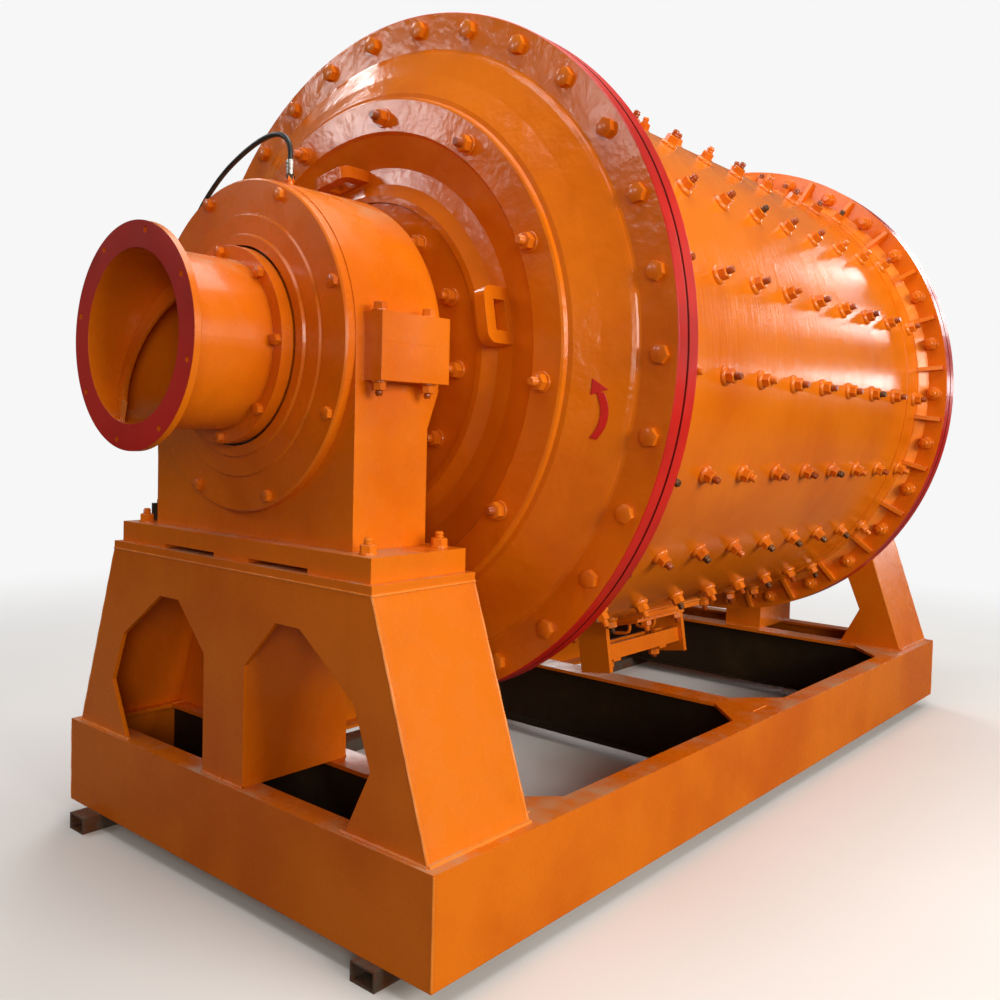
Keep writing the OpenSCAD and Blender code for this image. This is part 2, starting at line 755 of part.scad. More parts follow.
mirror([1, 0, 0]) side_beam();  // side_beam_left
side_beam();  // side_beam_right
end_beam();  // end_beam_feed
discharge() end_beam();  // end_beam_discharge
cross_beam(-half_len + cross_inset);  // cross_beam_feed
cross_beam(0);  // cross_beam_middle
cross_beam(half_len - cross_inset);  // cross_beam_discharge
corner_plates();
runner(-runner_left_x, -half_len - runner_long_end, half_len + runner_short_end);  // runner_left
runner(runner_right_x, -half_len - runner_short_end, half_len + runner_long_end);  // runner_right
stand_plate(stand_y0);  // feed_stand_outer_plate
stand_plate(stand_y1 - stand_t);  // feed_stand_inner_plate
stand_sides();  // feed_stand_sides
stand_column();  // feed_stand_column
stand_cap();  // feed_stand_cap
discharge() stand_plate(stand_y0);  // discharge_stand_outer_plate
discharge() stand_plate(stand_y1 - stand_t);  // discharge_stand_inner_plate
discharge() stand_sides();  // discharge_stand_sides
discharge() stand_column();  // discharge_stand_column
discharge() stand_cap();  // discharge_stand_cap
bearing_foot();  // feed_bearing_foot
bearing_pedestal();  // feed_bearing_pedestal
bearing_cap();  // feed_bearing_cap
bearing_ring();  // feed_bearing_ring
bearing_cover();  // feed_bearing_cover
bearing_inner_cover();  // feed_bearing_inner_cover
discharge() bearing_foot();  // discharge_bearing_foot
discharge() bearing_pedestal();  // discharge_bearing_pedestal
discharge() bearing_cap();  // discharge_bearing_cap
discharge() bearing_ring();  // discharge_bearing_ring
discharge() bearing_cover();  // discharge_bearing_cover
discharge() bearing_inner_cover();  // discharge_bearing_inner_cover
hose_fitting();
hose_block();
lube_hose();
drum_shell();
shell_flange();  // feed_shell_flange
discharge() shell_flange();  // discharge_shell_flange
head();  // feed_head
discharge() head();  // discharge_head
lifting_loops();  // feed_lifting_loops
discharge() lifting_loops();  // discharge_lifting_loops
trunnion();  // feed_trunnion
discharge() trunnion();  // discharge_trunnion
pipe_end();  // feed_pipe
discharge() pipe_end();  // discharge_pipe
feed_spiral();
manhole_seat();
manhole_clamp();
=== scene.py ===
"""Looks of a ball mill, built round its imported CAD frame. Everything is in metres, in the row frame."""
import math
import random

import bpy
import numpy as np
from mathutils import Matrix, Vector


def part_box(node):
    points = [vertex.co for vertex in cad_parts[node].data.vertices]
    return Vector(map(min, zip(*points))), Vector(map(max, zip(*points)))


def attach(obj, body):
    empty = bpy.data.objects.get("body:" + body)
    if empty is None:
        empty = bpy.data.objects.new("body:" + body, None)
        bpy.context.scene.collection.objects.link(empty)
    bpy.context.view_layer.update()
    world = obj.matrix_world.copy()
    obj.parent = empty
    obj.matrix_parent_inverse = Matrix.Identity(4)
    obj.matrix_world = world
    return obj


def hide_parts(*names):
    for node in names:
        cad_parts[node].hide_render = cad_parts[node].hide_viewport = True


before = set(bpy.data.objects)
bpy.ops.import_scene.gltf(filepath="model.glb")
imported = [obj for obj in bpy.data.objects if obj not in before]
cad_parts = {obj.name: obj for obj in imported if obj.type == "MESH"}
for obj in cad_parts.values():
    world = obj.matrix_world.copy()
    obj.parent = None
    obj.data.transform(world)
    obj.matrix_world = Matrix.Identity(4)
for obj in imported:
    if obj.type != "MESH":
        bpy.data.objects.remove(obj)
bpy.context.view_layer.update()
random.seed(7)

# ---- Sizes read from the frame ----

SHELL_LO, SHELL_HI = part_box("drum_shell")
SEAT_LO, SEAT_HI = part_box("manhole_seat")
FOOT_LO, FOOT_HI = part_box("feed_bearing_foot")
BLOCK_LO, BLOCK_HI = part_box("hose_block")
STAND_CAP_LO, STAND_CAP_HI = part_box("feed_stand_cap")
BASE_LO, BASE_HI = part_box("end_beam_feed")
PIPE_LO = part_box("feed_pipe")[0]
TRUNNION_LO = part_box("feed_trunnion")[0]
COVER_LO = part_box("feed_bearing_cover")[0]
CAP_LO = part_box("feed_bearing_cap")[0]
STAND_OUT_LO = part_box("feed_stand_outer_plate")[0]
HEAD_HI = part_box("feed_head")[1]
STAND_IN_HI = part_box("feed_stand_inner_plate")[1]
COLUMN_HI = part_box("feed_stand_column")[1]
SIDES_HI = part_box("feed_stand_sides")[1]
SIDE_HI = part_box("side_beam_right")[1]
FITTING_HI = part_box("hose_fitting")[1]
CROSS_BEAMS = ("cross_beam_feed", "cross_beam_middle", "cross_beam_discharge")

# ---- Sizes of the CAD source that a box does not give ----

FLANGE_T = 0.058  # the head's flange, and the shell's
HEAD_RISE = 0.132  # from the flange's face out to the ring of studs
HUB_SINK, HUB_T = 0.055, 0.042  # the trunnion's hub flange in the head
BAND_H, BAND_W = 0.005, 0.19  # the shell's end bands
SEAT_T = 0.028  # the manhole's seat on the shell
SEAT_HALF_W = 0.230
MANHOLE_ANGLE = -81.0
CLAMP_BAR_R = 1.320
CHANNEL_W = 0.092  # the flange of the base's rolled channels
STAND_LEG_X = 0.600  # where a stand's outer legs begin at the base

# ---- Places that follow ----

AXIS_Z = (SHELL_LO.z + SHELL_HI.z) / 2
BAND_R = SHELL_HI.x
SHELL_R = BAND_R - BAND_H
FLANGE_R = HEAD_HI.x
JOINT_Y = HEAD_HI.y
FACE_Y = JOINT_Y - FLANGE_T
BACK_Y = JOINT_Y + FLANGE_T
RING_Y = FACE_Y - HEAD_RISE
HUB_FACE_Y = RING_Y + HUB_SINK - HUB_T
BASE_TOP = BASE_HI.z
BASE_END_Y = -BASE_LO.y
SEAT_R = SHELL_R + SEAT_T
WELD_R = BAND_R + 0.040

# Circles and lines of bolts
FLANGE_BOLT_R = 1.204
RING_STUD_R = 0.861
HUB_STUD_R = 0.484
COVER_BOLT_R = 0.511
PIPE_BOLT_R = 0.297
LUG_BOLT_X = 0.585
FOOT_BOLT_X = 0.615
LINER_ROWS, LINER_START = 20, -2.2
LINER_BOLTS, LINER_PITCH, LINER_SHIFT = 9, 0.282, 0.02

# The hose's route, by the same points as in the CAD source
HOSE_D = 0.017
HOSE_ROUTE = [
    (0.157, -1.952, 2.400), (0.157, -1.952, 2.428), (0.150, -1.952, 2.456), (0.130, -1.952, 2.480),
    (0.095, -1.952, 2.496), (0.050, -1.951, 2.500), (0.000, -1.950, 2.495), (-0.060, -1.948, 2.482),
    (-0.130, -1.946, 2.460), (-0.210, -1.943, 2.428), (-0.290, -1.939, 2.385), (-0.370, -1.935, 2.328),
    (-0.445, -1.930, 2.258), (-0.510, -1.926, 2.176), (-0.570, -1.922, 2.082), (-0.620, -1.919, 1.980),
    (-0.652, -1.917, 1.870), (-0.668, -1.916, 1.750), (-0.674, -1.915, 1.630), (-0.672, -1.915, 1.510),
    (-0.666, -1.915, 1.400), (-0.660, -1.915, 1.310), (-0.658, -1.915, 1.262), (-0.658, -1.915, 1.245),
]

# ---- Colours, linear ----

ORANGE = (0.79, 0.180, 0.0035)
ORANGE_DEEP = (0.66, 0.125, 0.002)
RED = (0.64, 0.013, 0.006)
RED_DEEP = (0.40, 0.006, 0.003)
# Painted shade: darker reds for the groove at the flange joint.
RED_SHADED = (0.24, 0.006, 0.004)
RED_SHADED_DEEP = (0.14, 0.004, 0.003)
DUST = (0.54, 0.33, 0.18)
# Near-black: the hose block's own colour, and painted shade on the cross beams' webs.
BLACK_AND_PAINTED_SHADE = (0.022, 0.011, 0.003)
BROWN_BLACK_AND_PAINTED_SHADE = (0.042, 0.023, 0.006)
RUST = (0.16, 0.055, 0.020)
DARK_STEEL = (0.14, 0.11, 0.09)


# ---- Materials ----

class Nodes:
    """A material's node tree with short calls for the nodes used here."""

    def __init__(self, name):
        self.material = bpy.data.materials.new(name)
        self.material.use_nodes = True
        self.tree = self.material.node_tree
        self.shader = self.tree.nodes["Principled BSDF"]
        self.coords = self.tree.nodes.new("ShaderNodeTexCoord").outputs["Object"]

    def link(self, a, b):
        self.tree.links.new(a, b)

    def noise(self, scale, detail=3.0, rough=0.55, stretch=None):
        node = self.tree.nodes.new("ShaderNodeTexNoise")
        node.inputs["Scale"].default_value = scale
        node.inputs["Detail"].default_value = detail
        node.inputs["Roughness"].default_value = rough
        if stretch:
            mapping = self.tree.nodes.new("ShaderNodeMapping")
            mapping.inputs["Scale"].default_value = stretch
            self.link(self.coords, mapping.inputs["Vector"])
            self.link(mapping.outputs["Vector"], node.inputs["Vector"])
        else:
            self.link(self.coords, node.inputs["Vector"])
        return node.outputs["Fac"]

    def remap(self, value, low, high, to_low=0.0, to_high=1.0):
        node = self.tree.nodes.new("ShaderNodeMapRange")
        node.interpolation_type = "SMOOTHSTEP"
        for name, number in (("From Min", low), ("From Max", high), ("To Min", to_low), ("To Max", to_high)):
            node.inputs[name].default_value = number
        self.link(value, node.inputs["Value"])
        return node.outputs["Result"]

    def math(self, kind, a, b):
        node = self.tree.nodes.new("ShaderNodeMath")
        node.operation = kind
        for socket, value in zip(node.inputs, (a, b)):
            if isinstance(value, (int, float)):
                socket.default_value = value
            else:
                self.link(value, socket)
        return node.outputs["Value"]

    def mix(self, factor, a, b):
        node = self.tree.nodes.new("ShaderNodeMix")
        node.data_type = "RGBA"
        self.link(factor, node.inputs["Factor"])
        for socket, value in ((node.inputs["A"], a), (node.inputs["B"], b)):
            if isinstance(value, tuple):
                socket.default_value = (*value, 1.0)
            else:
                self.link(value, socket)
        return node.outputs["Result"]

    def normal_z(self):
        geometry = self.tree.nodes.new("ShaderNodeNewGeometry")
        split = self.tree.nodes.new("ShaderNodeSeparateXYZ")
        self.link(geometry.outputs["Normal"], split.inputs["Vector"])
        return split.outputs["Z"]

    def colour(self, value):
        if isinstance(value, tuple):
            self.shader.inputs["Base Color"].default_value = (*value, 1.0)
        else:
            self.link(value, self.shader.inputs["Base Color"])

    def roughness(self, value):
        if isinstance(value, float):
            self.shader.inputs["Roughness"].default_value = value
        else:
            self.link(value, self.shader.inputs["Roughness"])

    def bumps(self, layers, edge=0.0):
        """Stacks (height, distance) layers, over edges rounded by a radius."""
        last = None
        if edge:
            bevel = self.tree.nodes.new("ShaderNodeBevel")
            bevel.samples = 4
            bevel.inputs["Radius"].default_value = edge
            last = bevel.outputs["Normal"]
        for height, distance in layers:
            bump = self.tree.nodes.new("ShaderNodeBump")
            bump.inputs["Strength"].default_value = 1.0
            bump.inputs["Distance"].default_value = distance
            self.link(height, bump.inputs["Height"])
            if last:
                self.link(last, bump.inputs["Normal"])
            last = bump.outputs["Normal"]
        self.link(last, self.shader.inputs["Normal"])


def enamel(name, colour, deep, dust=0.5, edge=0.003, wave=0.0008, rough=(0.22, 0.34), grime=0.35,
           brushed=0.0):
    """Brushed and sprayed gloss enamel with uneven thickness, settled dust and dark grime."""
    n = Nodes(name)
    tone = n.mix(n.remap(n.noise(1.7, 4.0), 0.38, 0.72), colour, deep)
    streak = n.remap(n.noise(6.0, 6.0, 0.62, (1.0, 1.0, 0.22)), 0.56, 0.80, 0.0, grime)
    tone = n.mix(streak, tone, tuple(0.55 * c for c in deep))
    up = n.remap(n.normal_z(), 0.60, 0.99)
    patch = n.remap(n.noise(3.2, 7.0, 0.68), 0.42, 0.68, 0.0, dust)
    settled = n.math("MULTIPLY", up, patch)
    n.colour(n.mix(settled, tone, DUST))
    gloss = n.remap(n.noise(11.0, 4.0), 0.3, 0.75, rough[0], rough[1])
    n.roughness(n.math("ADD", gloss, n.math("MULTIPLY", settled, 0.3)))
    n.shader.inputs["Specular IOR Level"].default_value = 0.36
    n.shader.inputs["Coat Weight"].default_value = 0.22
    n.shader.inputs["Coat Roughness"].default_value = 0.10
    layers = [(n.noise(7.0, 3.0), wave), (n.noise(150.0, 2.0), 0.0002)]
    if wave > 0.003:
        layers.append((n.noise(26.0, 4.0, 0.6), 0.25 * wave))
    if brushed:
        layers.append((n.noise(5.0, 4.0, 0.6, (1.0, 14.0, 1.0)), brushed))
    n.bumps(layers, edge)
    return n.material


# Near-black paint for the hose block, also used as painted shade on the cross beams' webs.
def black_and_painted_shade():
    n = Nodes("black_block_and_painted_web_shade")
    n.colour(n.mix(n.remap(n.noise(3.0, 5.0), 0.45, 0.75), BLACK_AND_PAINTED_SHADE, BROWN_BLACK_AND_PAINTED_SHADE))
    n.shader.inputs["Specular IOR Level"].default_value = 0.3
    n.roughness(n.remap(n.noise(20.0), 0.3, 0.7, 0.5, 0.75))
    n.bumps([(n.noise(60.0), 0.0004)], 0.002)
    return n.material


def mill_scale():
    n = Nodes("mill_scale")
    rusty = n.remap(n.noise(11.0, 6.0, 0.65), 0.42, 0.66)
    n.colour(n.mix(rusty, DARK_STEEL, RUST))
    n.roughness(n.remap(rusty, 0.0, 1.0, 0.45, 0.85))
    n.shader.inputs["Metallic"].default_value = 0.35
    n.bumps([(n.noise(80.0, 5.0), 0.0006)], 0.002)
    return n.material


def metal(name, colour, rough, grain=260.0):
    n = Nodes(name)
    n.colour(n.mix(n.remap(n.noise(18.0, 4.0), 0.35, 0.7), colour, tuple(0.55 * c for c in colour)))
    n.roughness(n.remap(n.noise(40.0), 0.3, 0.7, rough, rough + 0.2))
    n.shader.inputs["Metallic"].default_value = 0.9
    n.bumps([(n.noise(grain), 0.0002)], 0.001)
    return n.material


def rubber():
    n = Nodes("hose_rubber")
    n.colour(n.mix(n.remap(n.noise(30.0), 0.4, 0.7), (0.012, 0.012, 0.012), (0.03, 0.028, 0.026)))
    n.roughness(n.remap(n.noise(50.0), 0.3, 0.7, 0.35, 0.5))
    n.bumps([(n.noise(420.0), 0.0003)])
    return n.material


MAT_ORANGE = enamel("orange_enamel", ORANGE, ORANGE_DEEP, dust=0.9, grime=0.22)
MAT_SHELL = enamel("orange_enamel_shell", ORANGE, ORANGE_DEEP, dust=0.25, wave=0.0014, grime=0.15,
                   rough=(0.15, 0.24), brushed=0.0012)
MAT_CAST = enamel("orange_enamel_cast", ORANGE, ORANGE_DEEP, dust=0.35, wave=0.0060, rough=(0.12, 0.24),
                  grime=0.25)
MAT_RED = enamel("red_enamel", RED, RED_DEEP, dust=0.1, wave=0.0006, rough=(0.30, 0.42), grime=0.1)
# Painted shade in the groove between the head's flange and the shell's.
MAT_GROOVE_SHADE = enamel("red_enamel_painted_groove_shade", RED_SHADED, RED_SHADED_DEEP, dust=0.0, rough=(0.5, 0.7))
MAT_BOLT = enamel("orange_enamel_bolt", (0.80, 0.19, 0.006), (0.58, 0.10, 0.002), dust=0.3, edge=0.0015,
                  wave=0.0004)
MAT_TIP = enamel("orange_enamel_tip", (0.44, 0.075, 0.003), (0.17, 0.028, 0.003), dust=0.1, edge=0.001,
                 wave=0.0003)
# Weld beads: paler orange as a painted highlight on their ridges, plus settled dust.
MAT_WELD_HIGHLIGHT = enamel("orange_enamel_weld_painted_highlight", (0.84, 0.25, 0.03), ORANGE_DEEP, dust=0.5, edge=0.0, wave=0.0006)
MAT_BLACK_AND_PAINTED_SHADE = black_and_painted_shade()
MAT_SCALE = mill_scale()
MAT_STUD = metal("bare_stud", (0.20, 0.105, 0.055), 0.42)
MAT_ZINC = metal("zinc_fitting", (0.62, 0.60, 0.58), 0.22)
MAT_DARK_NUT = metal("oiled_nut", (0.07, 0.06, 0.055), 0.3)
MAT_RING = metal("bearing_steel", (0.5, 0.5, 0.5), 0.3)
MAT_RUBBER = rubber()


# ---- Mesh building ----

def turn(profile, sides=24):
    """A closed body turned round Z from [radius, height] points, bottom to top."""
    verts, faces = [], []
    for r, z in profile:
        for k in range(sides):
            a = 2 * math.pi * k / sides
            verts.append((r * math.cos(a), r * math.sin(a), z))
    for i in range(len(profile) - 1):
        for k in range(sides):
            n = (k + 1) % sides
            faces.append((i * sides + k, i * sides + n, (i + 1) * sides + n, (i + 1) * sides + k))
    faces.append(tuple(range(sides))[::-1])
    top = (len(profile) - 1) * sides
    faces.append(tuple(range(top, top + sides)))
    return np.array(verts), faces


def hexagon(flats, height):
    """A nut or bolt head across its flats, its top corners chamfered."""
    sides, inner = 24, flats / 2
    verts, faces = [], []
    for ring in range(3):
        for k in range(sides):
            a = 2 * math.pi * k / sides
            r = inner / math.cos((a + math.pi / 6) % (math.pi / 3) - math.pi / 6)
            z = 0.0
            if ring == 1:
                z = height - (r - 0.9 * inner) * math.tan(math.radians(30))
            if ring == 2:
                r, z = 0.9 * inner, height
            verts.append((r * math.cos(a), r * math.sin(a), z))
    for i in range(2):
        for k in range(sides):
            n = (k + 1) % sides
            faces.append((i * sides + k, i * sides + n, (i + 1) * sides + n, (i + 1) * sides + k))
    faces.append(tuple(range(sides))[::-1])
    faces.append(tuple(range(2 * sides, 3 * sides)))
    return np.array(verts), faces


def disc(radius, height, sides=28):
    """A washer or boss with a small chamfer."""
    edge = min(height * 0.3, 0.002)
    return turn([(radius, 0), (radius, height - edge), (radius - edge, height)], sides)


def threaded(radius, length, sides=12, pitch=0.007):
    """A stud end with its thread as fine ridges and a chamfered tip."""
    profile = [(radius * 0.86, 0.0)]
    turns = max(1, int((length - 0.004) / pitch))
    for k in range(turns):
        z = (k + 0.5) * (length - 0.004) / turns
        profile.append((radius, z))
        profile.append((radius * 0.86, z + 0.5 * (length - 0.004) / turns))
    profile.append((radius * 0.72, length))
    return turn(profile, sides)


def block(size):
    """A box about its centre."""
    x, y, z = (s / 2 for s in size)
    verts = [(sx * x, sy * y, sz * z) for sz in (-1, 1) for sy in (-1, 1) for sx in (-1, 1)]
    faces = [(0, 2, 3, 1), (4, 5, 7, 6), (0, 1, 5, 4), (2, 6, 7, 3), (0, 4, 6, 2), (1, 3, 7, 5)]
    return np.array(verts), faces


def tube(points, radius, sides=10, wobble=None):
    """A round bar along points; wobble(i) scales its radius at ring i."""
    points = [Vector(p) for p in points]
    verts, faces = [], []
    side = None
    for i, p in enumerate(points):
        ahead = (points[min(i + 1, len(points) - 1)] - points[max(i - 1, 0)]).normalized()
        if side is None:
            side = ahead.orthogonal().normalized()
        side = (side - ahead * side.dot(ahead)).normalized()
        other = ahead.cross(side)
        r = radius * (wobble(i) if wobble else 1.0)
        for k in range(sides):
            a = 2 * math.pi * k / sides
            verts.append(tuple(p + r * (math.cos(a) * side + math.sin(a) * other)))
    for i in range(len(points) - 1):
        for k in range(sides):
            n = (k + 1) % sides
            faces.append((i * sides + k, i * sides + n, (i + 1) * sides + n, (i + 1) * sides + k))
    faces.append(tuple(range(sides))[::-1])
    last = (len(points) - 1) * sides
    faces.append(tuple(range(last, last + sides)))
    return np.array(verts), faces


def weld(start, end, radius=0.007):
    """A straight weld bead with its ripples."""
    start, end = Vector(start), Vector(end)
    rings = max(4, int((end - start).length / 0.006))
    points = [start.lerp(end, i / rings) for i in range(rings + 1)]
    shift = random.random() * 6.0
    ripple = [0.86 + 0.16 * (i % 2) + 0.10 * math.sin(i * 0.37 + shift) for i in range(rings + 1)]
    return tube(points, radius, 6, lambda i: ripple[i])


def ring(outline, sides=240, ripple=0.0):
    """A ring turned round Z from a closed outline of [radius, height] points, with weld ripples."""
    verts, faces = [], []
    count = len(outline)
    for k in range(sides):
        a = 2 * math.pi * k / sides
        swell = ripple * ((k % 3) - 1 + 0.8 * math.sin(k * 0.61))
        for i, (r, z) in enumerate(outline):
            r = r + (swell if i else 0.0)
            verts.append((r * math.cos(a), r * math.sin(a), z))
    for k in range(sides):
        n = (k + 1) % sides
        for i in range(count):
            j = (i + 1) % count
            faces.append((k * count + j, n * count + j, n * count + i, k * count + i))
    return np.array(verts), faces


def curved_plate(width, length, low, high, steps=14):
    """A plate bent round the drum: local Z points away from the axis, and radii count from it."""
    verts, faces = [], []
    for i in range(steps + 1):
        a = (i / steps - 0.5) * width / high
        for r in (low, high):
            for y in (-length / 2, length / 2):
                verts.append((r * math.sin(a), y, r * math.cos(a)))
    for i in range(steps):
        a, b = 4 * i, 4 * (i + 1)
        for p, q in ((0, 1), (1, 3), (3, 2), (2, 0)):
            faces.append((a + p, a + q, b + q, b + p))
    faces.append((0, 2, 3, 1))
    last = 4 * steps
    faces.append((last, last + 1, last + 3, last + 2))
    return np.array(verts), faces


class Batch:
    """Many small shapes joined into one mesh, each with its own material."""

    def __init__(self, name, body, materials, smooth=38.0):
        self.name, self.body, self.materials, self.smooth = name, body, materials, smooth
        self.verts, self.faces, self.slots, self.count = [], [], [], 0

    def add(self, shape, matrix=None, slot=0):
        verts, faces = shape
        flipped = False
        if matrix is not None:
            m = np.array(matrix)
            verts = verts @ m[:3, :3].T + m[:3, 3]
            flipped = np.linalg.det(m[:3, :3]) < 0
        self.verts.append(verts)
        for face in faces:
            face = tuple(i + self.count for i in face)
            self.faces.append(face[::-1] if flipped else face)
            self.slots.append(slot)
        self.count += len(verts)

    def build(self):
        mesh = bpy.data.meshes.new(self.name)
        mesh.from_pydata(np.concatenate(self.verts).tolist(), [], self.faces)
        for material in self.materials:
            mesh.materials.append(material)
        mesh.polygons.foreach_set("material_index", self.slots)
        mesh.shade_smooth()
        mesh.set_sharp_from_angle(angle=math.radians(self.smooth))
        piece = bpy.data.objects.new(self.name, mesh)
        bpy.context.scene.collection.objects.link(piece)
        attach(piece, self.body)
        return piece


MIRROR = Matrix.Diagonal((1, -1, 1, 1))
ENDS = {"feed": Matrix.Identity(4), "discharge": MIRROR}


def on_axis(angle, r, y, spin=0.0):
    """A place round the mill's axis whose +Z points out of the feed end, towards -Y."""
    a = math.radians(angle)
    place = Matrix.Translation((r * math.cos(a), y, AXIS_Z + r * math.sin(a)))
    return place @ Matrix.Rotation(math.radians(90), 4, "X") @ Matrix.Rotation(math.radians(spin), 4, "Z")


def on_drum(angle, y, r=0.0, spin=0.0):
    """A place on the drum whose +Z points away from the axis at that angle."""
    turned = Matrix.Rotation(math.radians(90 - angle), 4, "Y")
    place = Matrix.Translation((0, y, AXIS_Z)) @ turned @ up(r)
    return place @ Matrix.Rotation(math.radians(spin), 4, "Z")


def up(height):
    """A step along a place's own +Z."""
    return Matrix.Translation((0, 0, height))


REVERSED = Matrix.Rotation(math.radians(180), 4, "X")

# ---- Bolts of the drum ----


def head_bolts(end, flip):
    """Bolts through the flange joint: heads outside, washers, nuts and stud tips between the ribs."""
    batch = Batch(f"{end}_flange_bolts", "drum", [MAT_BOLT])
    flats, nut_h, washer_t = 0.055, 0.029, 0.005
    head, nut = hexagon(flats, 0.0225), hexagon(flats, nut_h)
    washer, tip = disc(0.034, washer_t), threaded(0.018, 0.012)
    for k in range(30):
        angle = 12 * k - 0.6
        spin = random.uniform(0, 60)
        batch.add(head, flip @ on_axis(angle, FLANGE_BOLT_R, FACE_Y, spin))
        back = flip @ on_axis(angle, FLANGE_BOLT_R, BACK_Y) @ REVERSED
        batch.add(washer, back)
        batch.add(nut, back @ up(washer_t) @ Matrix.Rotation(math.radians(spin), 4, "Z"))
        batch.add(tip, back @ up(washer_t + nut_h))
    batch.build()


def ring_studs(end, flip, name, count, start, r, y, washer, flats, nut_h, tip):
    """Studs on a ring of the head. washer is (radius, thickness), tip is (radius, length)."""
    batch = Batch(f"{end}_{name}", "drum", [MAT_BOLT, MAT_TIP])
    washer_t = washer[1]
    shapes = [disc(*washer), hexagon(flats, nut_h), threaded(*tip, 16)]
    for k in range(count):
        place = flip @ on_axis(start + 360 / count * k, r, y, random.uniform(0, 60))
        bare = random.random() < 0.25
        batch.add(shapes[0], place)
        batch.add(shapes[1], place @ up(washer_t))
        batch.add(shapes[2], place @ up(washer_t + nut_h), 1 if bare else 0)
    batch.build()


def liner_bolts():
    """Rows of liner bolts along the shell: cupped washer, nut and stud tip, partly overpainted."""
    batch = Batch("liner_bolts", "drum", [MAT_BOLT, MAT_TIP, MAT_STUD])
    cup_h, nut_h = 0.013, 0.028
    cup = turn([(0.036, 0.0), (0.036, 0.005), (0.032, 0.011), (0.027, 0.014)], 20)
    nut, tip = hexagon(0.046, nut_h), threaded(0.0145, 0.024)
    for row in range(LINER_ROWS):
        angle = 360 / LINER_ROWS * row + LINER_START
        off = (angle - MANHOLE_ANGLE + 180) % 360 - 180
        near = abs(off) < 12.0
        if near:
            angle += -0.6 if off > 0 else -1.6
        for k in range(LINER_BOLTS):
            y = (k - LINER_BOLTS // 2) * LINER_PITCH + LINER_SHIFT
            beside = SEAT_LO.y - 0.03 < y < SEAT_HI.y + 0.03
            if beside and near and off < 0:
                continue
            lift = SEAT_T if beside and near else 0.0
            if abs(y) > -BACK_Y - BAND_W:
                lift = BAND_H
            place = on_drum(angle, y, SHELL_R + lift, random.uniform(0, 60))
            batch.add(cup, place)
            batch.add(nut, place @ up(cup_h))
            batch.add(tip, place @ up(cup_h + nut_h), random.choice((0, 1, 1, 1, 2)))
    batch.build()


for end, flip in ENDS.items():
    head_bolts(end, flip)
    ring_studs(end, flip, "ring_studs", 12, 23.4, RING_STUD_R, RING_Y,
               washer=(0.034, 0.008), flats=0.050, nut_h=0.028, tip=(0.016, 0.026))
    ring_studs(end, flip, "hub_studs", 12, 23.7, HUB_STUD_R, HUB_FACE_Y,
               washer=(0.032, 0.008), flats=0.048, nut_h=0.030, tip=(0.015, 0.018))
liner_bolts()

# ---- Manhole ----


def manhole():
    """Curved cover with two handles, and two screws through straps that press it on its seat."""
    batch = Batch("manhole_cover", "drum", [MAT_ORANGE, MAT_BOLT, MAT_TIP, MAT_WELD_HIGHLIGHT])
    middle = (SEAT_LO.y + SEAT_HI.y) / 2
    place = on_drum(MANHOLE_ANGLE, middle)
    batch.add(curved_plate(0.34, 0.42, SEAT_R - 0.002, SEAT_R + 0.016), place)
    for y in (-0.11, 0.11):  # the handles
        grip = [(-0.055, y, SEAT_R), (-0.055, y, SEAT_R + 0.040), (-0.047, y, SEAT_R + 0.056),
                (-0.030, y, SEAT_R + 0.062), (0.030, y, SEAT_R + 0.062), (0.047, y, SEAT_R + 0.056),
                (0.055, y, SEAT_R + 0.040), (0.055, y, SEAT_R)]
        batch.add(tube(grip, 0.008, 12), place)
    for y in (-0.140 - middle, 0.260 - middle):  # the screws, one in each bar of the clamp
        screw = place @ Matrix.Translation((0, y, 0))
        batch.add(block((0.110, 0.060, 0.012)), screw @ up(CLAMP_BAR_R + 0.006), 1)
        batch.add(threaded(0.016, 0.150, 16), screw @ up(SEAT_R + 0.014), 2)
        batch.add(disc(0.030, 0.006), screw @ up(CLAMP_BAR_R + 0.012), 1)
        batch.add(hexagon(0.046, 0.026), screw @ up(CLAMP_BAR_R + 0.018), 1)
        batch.add(threaded(0.014, 0.012), screw @ up(CLAMP_BAR_R + 0.044), 2)
    half_l = (SEAT_HI.y - SEAT_LO.y) / 2
    edge = math.asin(SEAT_HALF_W / SHELL_R)
    for side in (-1, 1):
        x, z = side * SHELL_R * math.sin(edge), SHELL_R * math.cos(edge)
        batch.add(weld(place @ Vector((x, -half_l, z)), place @ Vector((x, half_l, z)), 0.009), None, 3)
        arc = [Vector((SHELL_R * math.sin(a), side * half_l, SHELL_R * math.cos(a)))
               for a in (edge * (i / 12 - 1) for i in range(25))]
        batch.add(tube(arc, 0.009, 6), place, 3)
    batch.build()


